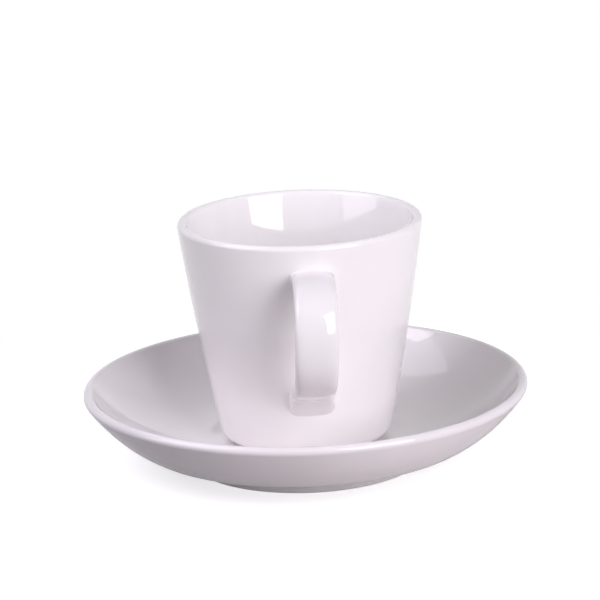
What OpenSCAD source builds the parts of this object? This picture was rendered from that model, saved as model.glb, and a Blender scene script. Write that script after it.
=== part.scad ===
// Espresso cup with a strap handle, standing on its saucer.
// Millimetres, +Z up, with the handle along +X.
// The origin is the middle of the saucer's foot, on the surface that it stands on.

/* [Saucer] */
// Diameter over the saucer's lip
saucer_d = 120; // [108:1:150]
// Height from the surface to the top of the saucer's lip
saucer_h = 21.5; // [17:0.5:28]
// Thickness of the rounded lip
saucer_lip_t = 2.7; // [2:0.1:3.6]
// Thickness of the floor inside the foot ring
saucer_floor_t = 3; // [2:0.1:4.5]
// Steepness of the wall at the lip, in degrees from level
saucer_lip_angle = 54; // [46:1:68]
// Diameter of the flat well that the cup stands in
well_d = 50; // [48:0.5:58]
// Outer diameter of the saucer's foot ring
saucer_foot_d = 64; // [54:0.1:74]
// Width of the saucer's foot ring
saucer_foot_w = 3.2; // [2:0.1:5]
// Height of the saucer's foot ring
saucer_foot_h = 3; // [2:0.1:4.5]

/* [Cup] */
// Outer diameter of the cup at its lip
cup_rim_d = 65.5; // [58:0.1:76]
// Height of the cup from its foot to the top of its lip
cup_h = 61; // [54:0.5:72]
// Outer diameter at which the line of the wall meets the base
cup_base_d = 45.7; // [43:0.1:52]
// How far the wall bows outwards of a straight line
wall_bow = 0.5; // [0:0.1:2]
// Thickness of the rounded lip
cup_lip_t = 2.5; // [1.8:0.1:3.6]
// Thickness of the wall at the floor
cup_wall_t = 5.2; // [3:0.1:7]
// Thickness of the floor inside the foot ring
cup_floor_t = 4; // [3:0.1:6]
// Radius of the rounded outer corner at the base
corner_r = 3.2; // [1.5:0.1:4]
// Radius of the hollow corner inside, between wall and floor
bowl_r = 10; // [4:0.5:14]
// Outer diameter of the cup's foot ring
cup_foot_d = 38; // [32:0.5:39]
// Width of the cup's foot ring
cup_foot_w = 2.6; // [1.6:0.1:4]
// Height of the cup's foot ring
cup_foot_h = 1.2; // [0.8:0.1:2]

/* [Handle] */
// Width of the strap at its upper root
strap_w = 11.3; // [9:0.1:15]
// Width of the strap above its lower root
strap_low_w = 10.4; // [8:0.1:15]
// Thickness of the strap
strap_t = 4.2; // [3.2:0.1:6]
// Depth of the finger gap between the wall and the strap
finger_gap = 18; // [12:0.5:24]
// Height of the upper root's middle above the cup's foot
upper_root_z = 52.4; // [46:0.1:54]
// Height at which the strap stands furthest out
strap_out_z = 36; // [32:0.5:42]
// Height of the lower root's middle above the cup's foot
lower_root_z = 19.4; // [16:0.1:24]
// Fall of the lower arm towards the wall, in degrees
lower_arm_angle = 20; // [5:1:30]
// How far the upper root spreads up the wall
upper_flare = 0.4; // [0.2:0.1:3]
// How far the lower root spreads down the wall
lower_flare = 3.3; // [0.5:0.1:4.5]
// How far the upper root spreads sideways
upper_side_flare = 0.4; // [0.1:0.1:2]
// How far the lower root spreads sideways
lower_side_flare = 0.9; // [0.1:0.1:2]
// Distance from the wall at which the upper root starts to spread
upper_reach = 1.2; // [0.8:0.1:6]
// Distance from the wall at which the lower root starts to spread
lower_reach = 3; // [1.5:0.1:6]

/* [Hidden] */
// Rounding of the foot rings' edges
foot_edge_r = 0.6;
// Depth past the wall's surface that the handle's ends run to before they are cut
cut_overrun = 0.6;
// Distance from the wall over which the strap's section turns to lie along it
turn_reach = 9;
// How far both roots spread into the corners of the finger gap
inner_flare = 0.1;
// Exponents of the strap's section: 2 is an ellipse, more is squarer
strap_squareness = 2.7;
// The same at each root, and on the side of both roots that faces the finger gap
upper_squareness = 4;
lower_squareness = 3.6;
inner_squareness = 2.6;
// Points around the strap, along each half of it, and down the wall
strap_sides = 44;
strap_steps = 26;
wall_steps = 12;
// Steps in a small rounding, in a lip and in a long curve
edge_steps = 5;
lip_steps = 14;
curve_steps = 22;
// How the stations along the strap crowd towards the roots
crowding = 1.5;

// Pull of the saucer's curves at each end, as shares of the run and the rise
under_run_share = 0.505;
under_rise_share = 0.5;
inside_fall_share = 0.42;
inside_run_share = 0.55;
// Pull of the strap's curve at each end, as shares of its reach and of its heights
upper_run_share = 0.64;
upper_rise_share = 0.86;
lower_fall_share = 0.5;
lower_run_share = 0.6;

saucer_r = saucer_d / 2;
saucer_lip_r = saucer_lip_t / 2;
saucer_foot_r = saucer_foot_d / 2;
well_r = well_d / 2;
// Level of the well, on which the cup's foot ring stands
seat_z = saucer_foot_h + saucer_floor_t;

lip_r = cup_lip_t / 2;
lip_z = cup_h - lip_r;
cup_foot_r = cup_foot_d / 2;
bowl_z = cup_foot_h + cup_floor_t;
wall_rise = lip_z - cup_foot_h;
wall_run = cup_rim_d / 2 - cup_base_d / 2;

// Outer radius of the cup's wall at a height above the cup's foot
function wall_share(z) = (z - cup_foot_h) / wall_rise;
function wall_r(z) = cup_base_d / 2 + wall_run * wall_share(z)
    + 4 * wall_bow * wall_share(z) * (1 - wall_share(z));
// Lean of the wall from upright at a height, in degrees
function wall_lean(z) = atan((wall_run + 4 * wall_bow * (1 - 2 * wall_share(z))) / wall_rise);

// Points along an arc, from one angle to another
function arc(centre, r, from, to, steps) = [
    for (i = [0 : steps])
        let (angle = from + (to - from) * i / steps)
        centre + r * [cos(angle), sin(angle)]
];

// A point on a cubic curve through p and s, pulled towards q and r
function curve_point(p, q, r, s, t) =
    pow(1 - t, 3) * p + 3 * pow(1 - t, 2) * t * q + 3 * (1 - t) * t * t * r + pow(t, 3) * s;
function curve_heading(p, q, r, s, t) =
    pow(1 - t, 2) * (q - p) + 2 * (1 - t) * t * (r - q) + t * t * (s - r);
function curve(p, q, r, s, steps) = [for (i = [0 : steps]) curve_point(p, q, r, s, i / steps)];

// A foot ring's section, from its inner top corner round to its outer top corner
function foot_ring(outer_r, w, h) = concat(
    [[outer_r - w, h]],
    arc([outer_r - w + foot_edge_r, foot_edge_r], foot_edge_r, 180, 270, edge_steps),
    arc([outer_r - foot_edge_r, foot_edge_r], foot_edge_r, -90, 0, edge_steps),
    [[outer_r, h]]
);

// The saucer's lip is a half round, between the curves of the underside and of the inside
saucer_lip = [saucer_r - saucer_lip_r, saucer_h - saucer_lip_r];
lip_heading = [cos(saucer_lip_angle), sin(saucer_lip_angle)];
lip_across = [lip_heading.y, -lip_heading.x];
under_start = [saucer_foot_r, saucer_foot_h];
under_end = saucer_lip + saucer_lip_r * lip_across;
under_span = under_end - under_start;
inside_start = saucer_lip - saucer_lip_r * lip_across;
inside_end = [well_r, seat_z];
inside_span = inside_start - inside_end;

saucer_profile = concat(
    [[0, saucer_foot_h]],
    foot_ring(saucer_foot_r, saucer_foot_w, saucer_foot_h),
    curve(
        under_start,
        under_start + [under_run_share * under_span.x, 0],
        under_end - under_rise_share * under_span.y * lip_heading,
        under_end,
        curve_steps
    ),
    arc(saucer_lip, saucer_lip_r, saucer_lip_angle - 90, saucer_lip_angle + 90, lip_steps),
    curve(
        inside_start,
        inside_start - inside_fall_share * inside_span.y * lip_heading,
        inside_end + [inside_run_share * inside_span.x, 0],
        inside_end,
        curve_steps
    ),
    [[0, seat_z]]
);

module saucer() {
    color("whitesmoke")
        rotate_extrude($fn = 96)
            polygon(saucer_profile);
}

// The rounded corner at the cup's base touches the base plane and the wall
corner_z = cup_foot_h + corner_r;
corner_lean = wall_lean(corner_z);
corner = [wall_r(corner_z) - corner_r / cos(corner_lean), corner_z];
// The lip's half round touches the wall outside
lip_lean = wall_lean(lip_z);
lip = [wall_r(lip_z) - lip_r / cos(lip_lean), lip_z];
// The wall runs between the corner and the lip
wall_foot_z = corner_z - corner_r * sin(corner_lean);
wall_top_z = lip_z - lip_r * sin(lip_lean);
wall_points = [
    for (i = [1 : wall_steps - 1])
        let (z = wall_foot_z + (wall_top_z - wall_foot_z) * i / wall_steps)
        [wall_r(z), z]
];
// The inner wall is a straight line from the floor's edge that touches the lip
floor_edge = [wall_r(bowl_z) - cup_wall_t, bowl_z];
to_lip = lip - floor_edge;
inner_angle = atan2(to_lip.y, to_lip.x) + asin(lip_r / norm(to_lip));
// The hollow corner inside touches the floor and the inner wall
bowl_half_angle = (180 - inner_angle) / 2;
bowl = [floor_edge.x - bowl_r / tan(bowl_half_angle), bowl_z + bowl_r];

cup_outside = concat(
    arc(corner, corner_r, -90, -corner_lean, lip_steps),
    wall_points,
    arc(lip, lip_r, -lip_lean, inner_angle + 90, lip_steps)
);

cup_profile = concat(
    [[0, cup_foot_h]],
    foot_ring(cup_foot_r, cup_foot_w, cup_foot_h),
    cup_outside,
    arc(bowl, bowl_r, inner_angle - 90, -90, lip_steps),
    [[0, bowl_z]]
);

module cup_body() {
    color("whitesmoke")
        translate([0, 0, seat_z])
            rotate_extrude($fn = 96)
                polygon(cup_profile);
}

// The middle line of the strap, in the plane of the handle: out and over, then down and in
upper_root = [wall_r(upper_root_z), upper_root_z];
lower_root = [wall_r(lower_root_z), lower_root_z];
strap_out = [wall_r(strap_out_z) + finger_gap + strap_t / 2, strap_out_z];
lower_arm = [cos(lower_arm_angle), sin(lower_arm_angle)];
upper_pull = upper_root + [upper_run_share * (strap_out.x - upper_root.x), 0];
over_pull = strap_out + [0, upper_rise_share * (upper_root.y - strap_out.y)];
down_pull = strap_out - [0, lower_fall_share * (strap_out.y - lower_root.y)];
lower_pull = lower_root + lower_run_share * (strap_out.x - lower_root.x) * lower_arm;

// Share of its turn along the wall that a section has made, at a distance from its root
function turn_share(distance) =
    let (far = min(1, distance / turn_reach))
    pow(1 - far, 2) * (1 + 2 * far);
// Form of each root: its spread, spread sideways, reach, squareness and skew along the wall
upper_form = [
    upper_flare,
    upper_side_flare,
    upper_reach,
    upper_squareness,
    tan(wall_lean(upper_root_z))
];
lower_form = [
    lower_flare,
    lower_side_flare,
    lower_reach,
    lower_squareness,
    tan(wall_lean(lower_root_z) + lower_arm_angle)
];
// Depth at which the whole of an end lies inside the wall's surface
root_half_w = max(strap_w, strap_low_w) / 2 + max(upper_side_flare, lower_side_flare);
root_depth = cut_overrun + lower_root.x - sqrt(pow(lower_root.x, 2) - pow(root_half_w, 2));

// One station along the strap: its place, heading, width, root form and turn along the wall
function upper_station(t) =
    let (place = curve_point(upper_root, upper_pull, over_pull, strap_out, t))
    [
        place,
        curve_heading(upper_root, upper_pull, over_pull, strap_out, t),
        strap_w,
        upper_form,
        turn_share(norm(place - upper_root))
    ];
function lower_station(t) =
    let (place = curve_point(strap_out, down_pull, lower_pull, lower_root, t))
    [
        place,
        curve_heading(strap_out, down_pull, lower_pull, lower_root, t),
        strap_w + (strap_low_w - strap_w) * t * t,
        lower_form,
        turn_share(norm(place - lower_root))
    ];
stations = concat(
    [[upper_root - [root_depth, 0], [1, 0], strap_w, upper_form, 1]],
    [for (i = [0 : strap_steps]) upper_station(pow(i / strap_steps, crowding))],
    [for (i = [1 : strap_steps]) lower_station(1 - pow(1 - i / strap_steps, crowding))],
    [[lower_root - root_depth * lower_arm, -lower_arm, strap_low_w, lower_form, 1]]
);

// The strap's section in a unit square: a crowned strap that squares up towards its roots
function squared(v, squareness) = sign(v) * pow(abs(v), 2 / squareness);
function unit_section(station) = [
    for (i = [0 : strap_sides - 1])
        let (
            angle = 360 * i / strap_sides,
            root_squareness = sin(angle) < 0 ? inner_squareness : station[3][3],
            squareness = strap_squareness + (root_squareness - strap_squareness) * station[4]
        )
        [squared(cos(angle), squareness), squared(sin(angle), squareness)]
];

// A point of the strap that has made a share of its root's spread
function strap_point(station, unit, grown) =
    let (
        form = station[3],
        heading = station[1] / norm(station[1]),
        rise = [-heading.y, heading.x] + form[4] * station[4] * heading,
        flare = unit.y < 0 ? inner_flare : form[0],
        place = station[0] + unit.y * (strap_t / 2 + flare * grown) * rise
    )
    [place.x, unit.x * (station[2] / 2 + form[1] * grown), place.y];
// Distance of a point from the cup's wall
function wall_gap(p) = norm([p.x, p.y]) - wall_r(p.z);
// Share of its spread that a root has made, at a distance from the wall
function spread(gap, reach) = pow(min(1, max(0, 1 - gap / reach)), 2);
function flared_point(station, unit) =
    let (grown = spread(wall_gap(strap_point(station, unit, 1)), station[3][2]))
    strap_point(station, unit, grown);

strap_points = [
    for (station = stations)
        for (unit = unit_section(station))
            flared_point(station, unit)
];
last_ring = (len(stations) - 1) * strap_sides;
strap_faces = concat(
    [[for (j = [0 : strap_sides - 1]) j]],
    [
        for (ring = [0 : strap_sides : last_ring - 1])
            for (j = [0 : strap_sides - 1])
                let (next = (j + 1) % strap_sides)
                each [
                    [ring + j, ring + strap_sides + j, ring + strap_sides + next],
                    [ring + j, ring + strap_sides + next, ring + next]
                ]
    ],
    [[for (j = [strap_sides - 1 : -1 : 0]) last_ring + j]]
);

// The solid inside the cup's outer wall, which cuts the handle's ends to their seats
module wall_core() {
    rotate_extrude($fn = 96)
        polygon(concat([[0, cup_foot_h]], cup_outside, [[0, lip_z]]));
}

module cup_handle() {
    color("whitesmoke")
        translate([0, 0, seat_z])
            difference() {
                polyhedron(strap_points, strap_faces);
                wall_core();
            }
}

saucer();
cup_body();
cup_handle();
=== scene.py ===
import math

import bmesh
import bpy
from mathutils import Euler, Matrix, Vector


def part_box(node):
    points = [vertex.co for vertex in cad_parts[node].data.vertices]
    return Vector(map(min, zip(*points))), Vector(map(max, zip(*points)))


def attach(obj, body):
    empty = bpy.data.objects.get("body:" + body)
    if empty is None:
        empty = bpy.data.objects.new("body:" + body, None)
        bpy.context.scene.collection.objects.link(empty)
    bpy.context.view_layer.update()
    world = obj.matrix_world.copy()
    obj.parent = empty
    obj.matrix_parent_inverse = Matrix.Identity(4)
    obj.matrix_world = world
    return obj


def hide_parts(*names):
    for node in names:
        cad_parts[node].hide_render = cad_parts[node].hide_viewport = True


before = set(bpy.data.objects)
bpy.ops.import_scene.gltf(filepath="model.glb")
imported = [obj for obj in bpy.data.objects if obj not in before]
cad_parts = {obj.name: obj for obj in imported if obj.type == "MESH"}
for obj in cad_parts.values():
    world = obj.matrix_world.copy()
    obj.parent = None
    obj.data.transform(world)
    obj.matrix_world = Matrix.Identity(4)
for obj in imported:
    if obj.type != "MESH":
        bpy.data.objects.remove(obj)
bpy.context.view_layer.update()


# The saucer: a deep round dish of white porcelain on a low foot ring, pressed in one piece.
# It is dipped in clear gloss glaze and wiped bare under the foot, where it stands in the kiln.
saucer_r = 0.060
saucer_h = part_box("saucer")[1].z
saucer_lip_r = 0.00135
saucer_lip_angle = math.radians(54)
saucer_foot_r = 0.0320
saucer_foot_w = 0.0032
saucer_foot_h = 0.0030
foot_edge_r = 0.0006
belly_edge_r = 0.0453
well_r = 0.025
well_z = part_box("cup_body")[0].z
under_run_share, under_rise_share = 0.505, 0.50
inside_fall_share, inside_run_share = 0.42, 0.55
dish_steps, underside_steps, saucer_lip_steps, foot_edge_steps = 48, 10, 20, 6
spin_steps = 192
weld_distance = 1e-6
smooth_below = math.radians(50)
saucer_thin_glaze, saucer_thick_glaze = (0.845, 0.810, 0.812), (0.870, 0.835, 0.837)
bare_foot_h = 0.0002


def arc(centre, radius, start, end, steps):
    """Points along a round stretch of a section."""
    angles = [start + (end - start) * i / steps for i in range(steps + 1)]
    return [centre + radius * Vector((math.cos(a), math.sin(a))) for a in angles]


def along(p, q, r, s, t):
    """A point on a curve from p to s, pulled towards q and r, and its heading there."""
    u = 1 - t
    place = u**3 * p + 3 * u * u * t * q + 3 * u * t * t * r + t**3 * s
    heading = u * u * (q - p) + 2 * u * t * (r - q) + t * t * (s - r)
    return place, heading.normalized()


def curve(p, q, r, s, steps):
    """Points along such a curve."""
    return [along(p, q, r, s, i / steps)[0] for i in range(steps + 1)]


def foot_ring(outer_r, width, base_z, height):
    """A foot ring's section, from its inner top corner under its flat to its outer top corner."""
    inner_r, top_z, edge_z = outer_r - width, base_z + height, base_z + foot_edge_r
    inner = Vector((inner_r + foot_edge_r, edge_z))
    outer = Vector((outer_r - foot_edge_r, edge_z))
    return [
        Vector((inner_r, top_z)),
        *arc(inner, foot_edge_r, math.pi, 1.5 * math.pi, foot_edge_steps),
        *arc(outer, foot_edge_r, -0.5 * math.pi, 0, foot_edge_steps),
        Vector((outer_r, top_z)),
    ]


def turned(name, section):
    """Draws half a section point by point, as a potter's template, and spins it about the axis."""
    bpy.ops.object.select_all(action="DESELECT")
    start = section[0]
    bpy.ops.mesh.primitive_plane_add(size=foot_edge_r, location=(start.x, 0, start.y))
    piece = bpy.context.object
    piece.name = piece.data.name = name
    bpy.ops.object.mode_set(mode="EDIT")
    bpy.ops.mesh.merge(type="CENTER")
    for here, there in zip(section, section[1:]):
        step = there - here
        bpy.ops.mesh.extrude_vertices_move(TRANSFORM_OT_translate={"value": (step.x, 0, step.y)})
    bpy.ops.mesh.select_all(action="SELECT")
    bpy.ops.mesh.spin(steps=spin_steps, angle=math.tau, center=(0, 0, 0), axis=(0, 0, 1))
    bpy.ops.mesh.select_all(action="SELECT")
    bpy.ops.mesh.remove_doubles(threshold=weld_distance)
    bpy.ops.mesh.normals_make_consistent(inside=False)
    bpy.ops.object.mode_set(mode="OBJECT")
    bpy.ops.object.transform_apply(location=True, rotation=False, scale=False)
    bpy.ops.object.shade_smooth_by_angle(angle=smooth_below)
    return piece


def porcelain(name, thin_glaze, thick_glaze, bare_below):
    """White porcelain under clear gloss glaze, with a bare foot below a height."""
    material = bpy.data.materials.new(name)
    material.use_nodes = True
    nodes, links = material.node_tree.nodes, material.node_tree.links
    shader = nodes["Principled BSDF"]
    shader.inputs["IOR"].default_value = 1.52
    place = nodes.new("ShaderNodeTexCoord")

    # The glaze drifts a little in thickness, which tints it by a shade
    drift = nodes.new("ShaderNodeTexNoise")
    drift.inputs["Scale"].default_value = 34
    drift.inputs["Detail"].default_value = 3
    tint = nodes.new("ShaderNodeValToRGB")
    thin, thick = tint.color_ramp.elements
    thin.position, thick.position = 0.32, 0.68
    thin.color, thick.color = (*thin_glaze, 1), (*thick_glaze, 1)
    links.new(place.outputs["Object"], drift.inputs["Vector"])
    links.new(drift.outputs["Fac"], tint.inputs["Fac"])

    # Bare porcelain has a fine grain and a creamier white
    grain = nodes.new("ShaderNodeTexNoise")
    grain.inputs["Scale"].default_value = 2600
    grain.inputs["Detail"].default_value = 2
    biscuit = nodes.new("ShaderNodeValToRGB")
    dark, light = biscuit.color_ramp.elements
    dark.color, light.color = (0.60, 0.57, 0.52, 1), (0.74, 0.71, 0.66, 1)
    links.new(place.outputs["Object"], grain.inputs["Vector"])
    links.new(grain.outputs["Fac"], biscuit.inputs["Fac"])

    # The glaze ends in a slightly wavy line, wiped off above the foot
    line_waver, line_start, line_end = 0.0005, 0.00022, 0.00030
    height = nodes.new("ShaderNodeSeparateXYZ")
    waver = nodes.new("ShaderNodeMath")
    waver.operation = "MULTIPLY_ADD"
    waver.inputs[1].default_value = line_waver
    glazed = nodes.new("ShaderNodeMapRange")
    glazed.inputs["From Min"].default_value = bare_below + line_start
    glazed.inputs["From Max"].default_value = bare_below + line_end
    links.new(place.outputs["Object"], height.inputs["Vector"])
    links.new(drift.outputs["Fac"], waver.inputs[0])
    links.new(height.outputs["Z"], waver.inputs[2])
    links.new(waver.outputs["Value"], glazed.inputs["Value"])

    # The glaze's tint above that line, and bare porcelain below it
    colour = nodes.new("ShaderNodeMix")
    colour.data_type = "RGBA"
    links.new(glazed.outputs["Result"], colour.inputs["Factor"])
    links.new(biscuit.outputs["Color"], colour.inputs["A"])
    links.new(tint.outputs["Color"], colour.inputs["B"])
    links.new(colour.outputs["Result"], shader.inputs["Base Color"])

    # Gloss where it is glazed, dull where it is bare
    gloss = nodes.new("ShaderNodeMapRange")
    gloss.inputs["To Min"].default_value = 0.02
    gloss.inputs["To Max"].default_value = 0.05
    dull = nodes.new("ShaderNodeMix")
    dull.data_type = "FLOAT"
    dull.inputs["A"].default_value = 0.72
    links.new(drift.outputs["Fac"], gloss.inputs["Value"])
    links.new(glazed.outputs["Result"], dull.inputs["Factor"])
    links.new(gloss.outputs["Result"], dull.inputs["B"])
    links.new(dull.outputs["Result"], shader.inputs["Roughness"])

    # The glaze lies in faint, broad ripples, and the bare foot is gritty
    ripple = nodes.new("ShaderNodeTexNoise")
    ripple.inputs["Scale"].default_value = 120
    ripple.inputs["Detail"].default_value = 1
    relief = nodes.new("ShaderNodeMix")
    relief.data_type = "FLOAT"
    bump = nodes.new("ShaderNodeBump")
    bump.inputs["Strength"].default_value = 0.05
    bump.inputs["Distance"].default_value = 0.0004
    links.new(place.outputs["Object"], ripple.inputs["Vector"])
    links.new(glazed.outputs["Result"], relief.inputs["Factor"])
    links.new(grain.outputs["Fac"], relief.inputs["A"])
    links.new(ripple.outputs["Fac"], relief.inputs["B"])
    links.new(relief.outputs["Result"], bump.inputs["Height"])
    links.new(bump.outputs["Normal"], shader.inputs["Normal"])
    return material


saucer_lip = Vector((saucer_r - saucer_lip_r, saucer_h - saucer_lip_r))
lip_heading = Vector((math.cos(saucer_lip_angle), math.sin(saucer_lip_angle)))
lip_across = Vector((lip_heading.y, -lip_heading.x))
lip_start, lip_end = saucer_lip_angle - math.pi / 2, saucer_lip_angle + math.pi / 2
under_start = Vector((saucer_foot_r, saucer_foot_h))
under_end = saucer_lip + saucer_lip_r * lip_across
under_span = under_end - under_start
inside_start = saucer_lip - saucer_lip_r * lip_across
inside_end = Vector((well_r, well_z))
inside_span = inside_start - inside_end

# From the belly's lower edge the underside runs straight in to the foot ring
under_curve = curve(
    under_start,
    under_start + Vector((under_run_share * under_span.x, 0)),
    under_end - under_rise_share * under_span.y * lip_heading,
    under_end,
    dish_steps,
)
belly = [point for point in under_curve if point.x > belly_edge_r]
underside = [under_start.lerp(belly[0], i / underside_steps) for i in range(1, underside_steps)]

saucer = turned("saucer_dish", [
    Vector((0, saucer_foot_h)),
    *foot_ring(saucer_foot_r, saucer_foot_w, 0, saucer_foot_h),
    *underside,
    *belly,
    *arc(saucer_lip, saucer_lip_r, lip_start, lip_end, saucer_lip_steps),
    *curve(
        inside_start,
        inside_start - inside_fall_share * inside_span.y * lip_heading,
        inside_end + Vector((inside_run_share * inside_span.x, 0)),
        inside_end,
        dish_steps,
    ),
    Vector((well_r / 2, well_z)),
    Vector((0, well_z)),
])
saucer.data.materials.append(
    porcelain("saucer_glaze", saucer_thin_glaze, saucer_thick_glaze, bare_foot_h)
)
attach(saucer, "saucer")
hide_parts("saucer")


# The cup: a conical body of the same porcelain with a rounded lip, cast in a plaster mould.
# Its wall bows by half a millimetre, and its small foot ring stands in the saucer's well.
cup_rim_r = 0.03275
cup_base_r = 0.02285
cup_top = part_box("cup_body")[1].z
wall_bow = 0.0005
cup_lip_r = 0.00125
cup_wall_t = 0.0052
cup_floor_t = 0.0040
corner_r = 0.0032
bowl_r = 0.0100
cup_foot_r = 0.0190
cup_foot_w = 0.0026
cup_foot_h = 0.0012
corner_steps, wall_steps, cup_lip_steps, inner_wall_steps, bowl_steps = 16, 40, 24, 24, 28
cup_thin_glaze, cup_thick_glaze = (0.925, 0.900, 0.885), (0.945, 0.920, 0.905)
wall_base_z = well_z + cup_foot_h
lip_z = cup_top - cup_lip_r
bowl_z = wall_base_z + cup_floor_t
wall_rise = lip_z - wall_base_z
wall_run = cup_rim_r - cup_base_r


def wall_r(z):
    """Outer radius of the cup's wall at a height."""
    share = (z - wall_base_z) / wall_rise
    return cup_base_r + wall_run * share + 4 * wall_bow * share * (1 - share)


def wall_lean(z):
    """Lean of the wall from upright at a height."""
    share = (z - wall_base_z) / wall_rise
    return math.atan((wall_run + 4 * wall_bow * (1 - 2 * share)) / wall_rise)


corner_z = wall_base_z + corner_r
corner_lean = wall_lean(corner_z)
corner = Vector((wall_r(corner_z) - corner_r / math.cos(corner_lean), corner_z))
lip_lean = wall_lean(lip_z)
lip = Vector((wall_r(lip_z) - cup_lip_r / math.cos(lip_lean), lip_z))
wall_foot_z = corner_z - corner_r * math.sin(corner_lean)
wall_top_z = lip_z - cup_lip_r * math.sin(lip_lean)
wall_heights = [
    wall_foot_z + (wall_top_z - wall_foot_z) * i / wall_steps for i in range(1, wall_steps)
]

# The inner wall is straight and touches both the lip's round and the bowl's
floor_edge = Vector((wall_r(bowl_z) - cup_wall_t, bowl_z))
to_lip = lip - floor_edge
inner_angle = math.atan2(to_lip.y, to_lip.x) + math.asin(cup_lip_r / to_lip.length)
bowl = Vector((floor_edge.x - bowl_r / math.tan((math.pi - inner_angle) / 2), bowl_z + bowl_r))

cup_outside = [
    *arc(corner, corner_r, -math.pi / 2, -corner_lean, corner_steps),
    *[Vector((wall_r(z), z)) for z in wall_heights],
    *arc(lip, cup_lip_r, -lip_lean, inner_angle + math.pi / 2, cup_lip_steps),
]
bowl_curve = arc(bowl, bowl_r, inner_angle - math.pi / 2, -math.pi / 2, bowl_steps)
inner_wall = [
    cup_outside[-1].lerp(bowl_curve[0], i / inner_wall_steps) for i in range(1, inner_wall_steps)
]

cup = turned("cup_bowl", [
    Vector((0, wall_base_z)),
    *foot_ring(cup_foot_r, cup_foot_w, well_z, cup_foot_h),
    *cup_outside,
    *inner_wall,
    *bowl_curve,
    Vector((bowl.x / 2, bowl_z)),
    Vector((0, bowl_z)),
])
cup.data.materials.append(
    porcelain("cup_glaze", cup_thin_glaze, cup_thick_glaze, well_z + bare_foot_h)
)
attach(cup, "cup")
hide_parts("cup_body")


# The handle: a strap of the same porcelain, cast by itself with rounded edges and flared roots.
# Its ends are cut to the wall and stuck on by eye with slip, a degree or two out of true.
# Its glaze is the cup's, painted a shade darker: painted shade that tones down the light on the
# strap.
strap_w, strap_low_w = 0.0111, 0.0104
strap_t = 0.0042
finger_gap = 0.0173
upper_root_h, strap_out_h, lower_root_h = 0.0523, 0.0390, 0.0194
lower_arm_angle = math.radians(20)
upper_flare, upper_side_flare, upper_reach = 0.0002, 0.0005, 0.0016
lower_flare, lower_side_flare, lower_reach = 0.0034, 0.0010, 0.0100
inner_flare = 0.0001
turn_reach = 0.0090
root_depth = 0.0014
strap_squareness, upper_squareness, lower_squareness, inner_squareness = 3.2, 3.2, 5.0, 2.6
strap_lean, strap_swing = math.tan(math.radians(1.3)), math.tan(math.radians(1.9))
upper_run_share, upper_rise_share = 0.34, 1.02
lower_fall_share, lower_run_share = 0.66, 0.57
strap_sides, strap_steps, root_crowding = 96, 60, 1.6
# The strap's glaze tints are the cup's painted a shade darker, as painted shade
strap_shaded_thin_glaze, strap_shaded_thick_glaze = (0.892, 0.866, 0.853), (0.912, 0.886, 0.873)

# The strap's line, in two curves that meet where it is farthest out
upper_root_z = well_z + upper_root_h
strap_out_z = well_z + strap_out_h
lower_root_z = well_z + lower_root_h
upper_root = Vector((wall_r(upper_root_z), upper_root_z))
lower_root = Vector((wall_r(lower_root_z), lower_root_z))
strap_out = Vector((wall_r(strap_out_z) + finger_gap + strap_t / 2, strap_out_z))
lower_arm = Vector((math.cos(lower_arm_angle), math.sin(lower_arm_angle)))
upper_pull = upper_root + Vector((upper_run_share * (strap_out.x - upper_root.x), 0))
over_pull = strap_out + Vector((0, upper_rise_share * (upper_root.y - strap_out.y)))
down_pull = strap_out - Vector((0, lower_fall_share * (strap_out.y - lower_root.y)))
lower_pull = lower_root + lower_run_share * (strap_out.x - lower_root.x) * lower_arm

# The form of each root: its flare, flare sideways, reach, squareness and skew along the wall
upper_skew = math.tan(wall_lean(upper_root_z))
lower_skew = math.tan(wall_lean(lower_root_z) + lower_arm_angle)
upper_form = (upper_flare, upper_side_flare, upper_reach, upper_squareness, upper_skew)
lower_form = (lower_flare, lower_side_flare, lower_reach, lower_squareness, lower_skew)


def turn_share(distance):
    """Share of its turn along the wall that a section has made, at a distance from its root."""
    far = min(1, distance / turn_reach)
    return (1 - far) ** 2 * (1 + 2 * far)


def strap_station(t):
    """Place, heading, width, root form and turn of the strap, from 0 at its top to 2."""
    if t <= 1:
        place, heading = along(upper_root, upper_pull, over_pull, strap_out, t)
        return place, heading, strap_w, upper_form, turn_share((place - upper_root).length)
    place, heading = along(strap_out, down_pull, lower_pull, lower_root, t - 1)
    width = strap_w + (strap_low_w - strap_w) * (t - 1) ** 2
    return place, heading, width, lower_form, turn_share((place - lower_root).length)


def strap_point(station, angle):
    """A point of the strap's rounded section, spread out where it nears the wall."""
    place, heading, width, (flare, side_flare, reach, root_squareness, skew), turn = station
    if math.sin(angle) < 0:
        flare, root_squareness = inner_flare, inner_squareness
    squareness = strap_squareness + (root_squareness - strap_squareness) * turn**2
    across = math.copysign(abs(math.cos(angle)) ** (2 / squareness), math.cos(angle))
    up = math.copysign(abs(math.sin(angle)) ** (2 / squareness), math.sin(angle))
    rise = Vector((-heading.y, heading.x)) + skew * turn * heading

    def spread_by(share):
        spot = place + up * (strap_t / 2 + flare * share) * rise
        return Vector((spot.x, across * (width / 2 + side_flare * share), spot.y))

    widest = spread_by(1)
    gap = widest.xy.length - wall_r(widest.z)
    near = min(1, max(0, 1 - gap / reach))
    point = spread_by(near * near)
    point.y += strap_lean * (point.z - strap_out_z) - strap_swing * (point.x - upper_root.x)
    return point


crowded = [(i / strap_steps) ** root_crowding for i in range(strap_steps + 1)]
upper_start = (upper_root - Vector((root_depth, 0)), Vector((1, 0)), strap_w, upper_form, 1)
lower_end = (lower_root - root_depth * lower_arm, -lower_arm, strap_low_w, lower_form, 1)
strap_stations = [
    upper_start,
    *[strap_station(t) for t in crowded],
    *[strap_station(2 - t) for t in reversed(crowded[:-1])],
    lower_end,
]

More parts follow.
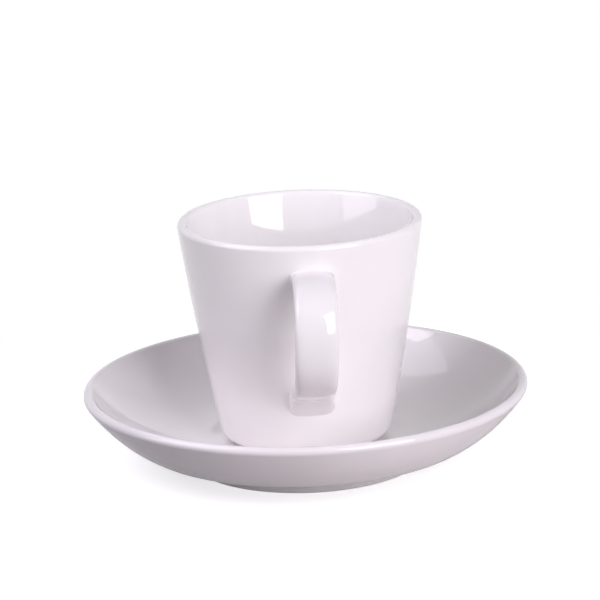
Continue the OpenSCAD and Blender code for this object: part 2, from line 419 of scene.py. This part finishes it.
# A ring is extruded from station to station, and each point keeps its angle in the section
bpy.ops.object.select_all(action="DESELECT")
bpy.ops.mesh.primitive_circle_add(vertices=strap_sides, radius=strap_w / 2, fill_type="NOTHING")
handle = bpy.context.object
handle.name = handle.data.name = "cup_strap"
bpy.ops.object.mode_set(mode="EDIT")
mesh = bmesh.from_edit_mesh(handle.data)
section_angle = mesh.verts.layers.float.new("section_angle")
for vertex in mesh.verts:
    vertex[section_angle] = math.atan2(vertex.co.y, vertex.co.x)
for count, station in enumerate(strap_stations):
    if count:
        bpy.ops.mesh.extrude_edges_move()
    mesh = bmesh.from_edit_mesh(handle.data)
    section_angle = mesh.verts.layers.float["section_angle"]
    for vertex in mesh.verts:
        if vertex.select:
            vertex.co = strap_point(station, vertex[section_angle])
    bmesh.update_edit_mesh(handle.data)

# Both ends are closed
bpy.ops.mesh.edge_face_add()
bpy.ops.mesh.select_all(action="DESELECT")
bpy.ops.mesh.select_non_manifold(extend=False)
bpy.ops.mesh.edge_face_add()
bpy.ops.mesh.select_all(action="SELECT")
bpy.ops.mesh.normals_make_consistent(inside=False)
bpy.ops.object.mode_set(mode="OBJECT")

# The cup's outer shape, up to the top of its lip, cuts both ends to their seats
to_lip_top = cup_outside[:-(cup_lip_steps // 2)]
wall_core = turned("wall_core", [Vector((0, wall_base_z)), *to_lip_top, Vector((0, cup_top))])
seat = handle.modifiers.new("seat", "BOOLEAN")
seat.operation = "DIFFERENCE"
seat.solver = "EXACT"
seat.object = wall_core
bpy.context.view_layer.objects.active = handle
bpy.ops.object.modifier_apply(modifier="seat")
bpy.data.objects.remove(wall_core)
bpy.ops.object.select_all(action="DESELECT")
handle.select_set(True)
bpy.ops.object.shade_smooth_by_angle(angle=smooth_below)
handle.data.materials.clear()
# The strap gets its own copy of the glaze, painted a shade darker as painted shade
handle.data.materials.append(
    porcelain("strap_glaze_painted_shade", strap_shaded_thin_glaze, strap_shaded_thick_glaze, well_z + bare_foot_h)
)
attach(handle, "cup")
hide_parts("cup_handle")


# The floor: a plain white sheet that the saucer stands on, which keeps its soft shadow.
# It is seen and mirrored as white and fades to a clean white away from the saucer.
# It throws back less light than so white a sheet would, so that the porcelain keeps its shade.
floor_size = 12


def seen_rays(tree):
    """1 for rays that see a surface straight, mirrored or through glass, and 0 for all others."""
    path = tree.nodes.new("ShaderNodeLightPath")
    seen = tree.nodes.new("ShaderNodeMath")
    seen.operation = "MAXIMUM"
    seen_or_through = tree.nodes.new("ShaderNodeMath")
    seen_or_through.operation = "MAXIMUM"
    tree.links.new(path.outputs["Is Camera Ray"], seen.inputs[0])
    tree.links.new(path.outputs["Is Glossy Ray"], seen.inputs[1])
    tree.links.new(seen.outputs["Value"], seen_or_through.inputs[0])
    tree.links.new(path.outputs["Is Transmission Ray"], seen_or_through.inputs[1])
    return seen_or_through.outputs["Value"]


bpy.ops.object.select_all(action="DESELECT")
bpy.ops.mesh.primitive_plane_add(size=floor_size)
floor = bpy.context.object
floor.name = "floor_sheet"
sheet = bpy.data.materials.new("white_sheet")
sheet.use_nodes = True
nodes, links = sheet.node_tree.nodes, sheet.node_tree.links
nodes.remove(nodes["Principled BSDF"])
place = nodes.new("ShaderNodeTexCoord")

# Light that the sheet throws back at the porcelain, less from its left, where the set is dark
sides = nodes.new("ShaderNodeSeparateXYZ")
bounce = nodes.new("ShaderNodeMapRange")
bounce.inputs["From Min"].default_value = -0.07
bounce.inputs["From Max"].default_value = 0.03
thrown = nodes.new("ShaderNodeMix")
thrown.data_type = "RGBA"
thrown.inputs["A"].default_value = (0.09, 0.08, 0.075, 1)
thrown.inputs["B"].default_value = (0.68, 0.65, 0.62, 1)
matt = nodes.new("ShaderNodeBsdfDiffuse")
links.new(place.outputs["Object"], sides.inputs["Vector"])
links.new(sides.outputs["Y"], bounce.inputs["Value"])
links.new(bounce.outputs["Result"], thrown.inputs["Factor"])
links.new(thrown.outputs["Result"], matt.inputs["Color"])

# The sheet as it is seen: lit near the saucer, so that it keeps the shadow, and plain white far off
away = nodes.new("ShaderNodeVectorMath")
away.operation = "LENGTH"
fade = nodes.new("ShaderNodeMapRange")
fade.interpolation_type = "SMOOTHSTEP"
fade.inputs["From Min"].default_value = 0.07
fade.inputs["From Max"].default_value = 0.16
path = nodes.new("ShaderNodeLightPath")
glow = nodes.new("ShaderNodeMapRange")
glow.inputs["To Min"].default_value = 0.20
glow.inputs["To Max"].default_value = 0.66
shine = nodes.new("ShaderNodeEmission")
lit = nodes.new("ShaderNodeBsdfDiffuse")
lit.inputs["Color"].default_value = (0.76, 0.76, 0.76, 1)
near = nodes.new("ShaderNodeAddShader")
far = nodes.new("ShaderNodeEmission")
sheet_seen = nodes.new("ShaderNodeMixShader")
links.new(place.outputs["Object"], away.inputs["Vector"])
links.new(away.outputs["Value"], fade.inputs["Value"])
links.new(path.outputs["Is Camera Ray"], glow.inputs["Value"])
links.new(glow.outputs["Result"], shine.inputs["Strength"])
links.new(lit.outputs["BSDF"], near.inputs[0])
links.new(shine.outputs["Emission"], near.inputs[1])
links.new(fade.outputs["Result"], sheet_seen.inputs["Fac"])
links.new(near.outputs["Shader"], sheet_seen.inputs[1])
links.new(far.outputs["Emission"], sheet_seen.inputs[2])

choice = nodes.new("ShaderNodeMixShader")
links.new(seen_rays(sheet.node_tree), choice.inputs["Fac"])
links.new(matt.outputs["BSDF"], choice.inputs[1])
links.new(sheet_seen.outputs["Shader"], choice.inputs[2])
links.new(choice.outputs["Shader"], nodes["Material Output"].inputs["Surface"])
floor.data.materials.append(sheet)


# The camera: it stands in front of the handle, a little to the left, and looks down at the cup.
# Its distance, height, tilt and lens are fitted to the photograph.
camera_turn = math.radians(-4.5)
camera_distance, camera_height = 0.81246, 0.26535
camera_pitch = math.radians(15.239)
camera_roll = math.radians(-2.080)
camera_pan = math.radians(0.045)
focal_px, frame_px, sensor_mm = 3132.8, 600, 36
lens = bpy.data.cameras.new("camera")
lens.sensor_width = sensor_mm
lens.lens = focal_px / frame_px * sensor_mm
camera = bpy.data.objects.new("camera", lens)
camera.location = (
    camera_distance * math.cos(camera_turn),
    camera_distance * math.sin(camera_turn),
    camera_height,
)
facing = Euler((math.pi / 2 - camera_pitch, 0, camera_turn + math.pi / 2 + camera_pan)).to_matrix()
camera.rotation_euler = (facing @ Euler((0, 0, camera_roll)).to_matrix()).to_euler()
bpy.context.collection.objects.link(camera)
bpy.context.scene.camera = camera


# The light: a large soft box in front to the right and a weaker one to the left, high up.
# White cards around the set fill in the shadows, and the room itself gives next to no light.
lamp_distance = 1.0
daylight, skylight = (0.952, 0.914, 1.0), (0.925, 0.880, 1.0)


def soft_box(name, turn, rise, width, height, watts, colour):
    """A soft box or a lit card, at a turn to the right of the camera and a rise, facing the cup."""
    lamp = bpy.data.lights.new(name, "AREA")
    lamp.shape = "RECTANGLE"
    lamp.size, lamp.size_y = width, height
    lamp.energy = watts
    lamp.color = colour
    box = bpy.data.objects.new(name, lamp)
    around, above = camera_turn + math.radians(turn), math.radians(rise)
    middle = Vector((0, 0, cup_top / 2))
    box.location = middle + lamp_distance * Vector((
        math.cos(above) * math.cos(around),
        math.cos(above) * math.sin(around),
        math.sin(above),
    ))
    box.rotation_euler = (box.location - middle).to_track_quat("Z", "Y").to_euler()
    bpy.context.collection.objects.link(box)


soft_box("key_box", 36, 21.5, width=0.64, height=0.68, watts=8.45, colour=daylight)
soft_box("left_box", -68.5, 44, width=0.70, height=0.47, watts=3.85, colour=skylight)
soft_box("left_card", -68.5, 16, width=0.70, height=0.52, watts=2.4, colour=skylight)
soft_box("top_left_card", -110, 60, width=0.90, height=0.50, watts=1.8, colour=skylight)
soft_box("right_card", 86, 38, width=0.45, height=0.90, watts=0.5, colour=daylight)
soft_box("back_right_card", 120, 20, width=1.00, height=0.70, watts=0.8, colour=daylight)
soft_box("back_left_card", -125, 18, width=0.70, height=0.60, watts=0.2, colour=skylight)

world = bpy.data.worlds.new("pale_room")
bpy.context.scene.world = world
world.use_nodes = True
nodes, links = world.node_tree.nodes, world.node_tree.links
room = nodes["Background"]
room.inputs["Color"].default_value = (1, 1, 1, 1)
room.inputs["Strength"].default_value = 0.01
backdrop = nodes.new("ShaderNodeBackground")
backdrop.inputs["Color"].default_value = (1, 1, 1, 1)
backdrop.inputs["Strength"].default_value = 1
choice = nodes.new("ShaderNodeMixShader")
links.new(seen_rays(world.node_tree), choice.inputs["Fac"])
links.new(room.outputs["Background"], choice.inputs[1])
links.new(backdrop.outputs["Background"], choice.inputs[2])
links.new(choice.outputs["Shader"], nodes["World Output"].inputs["Surface"])

bpy.context.scene.view_settings.view_transform = "Standard"
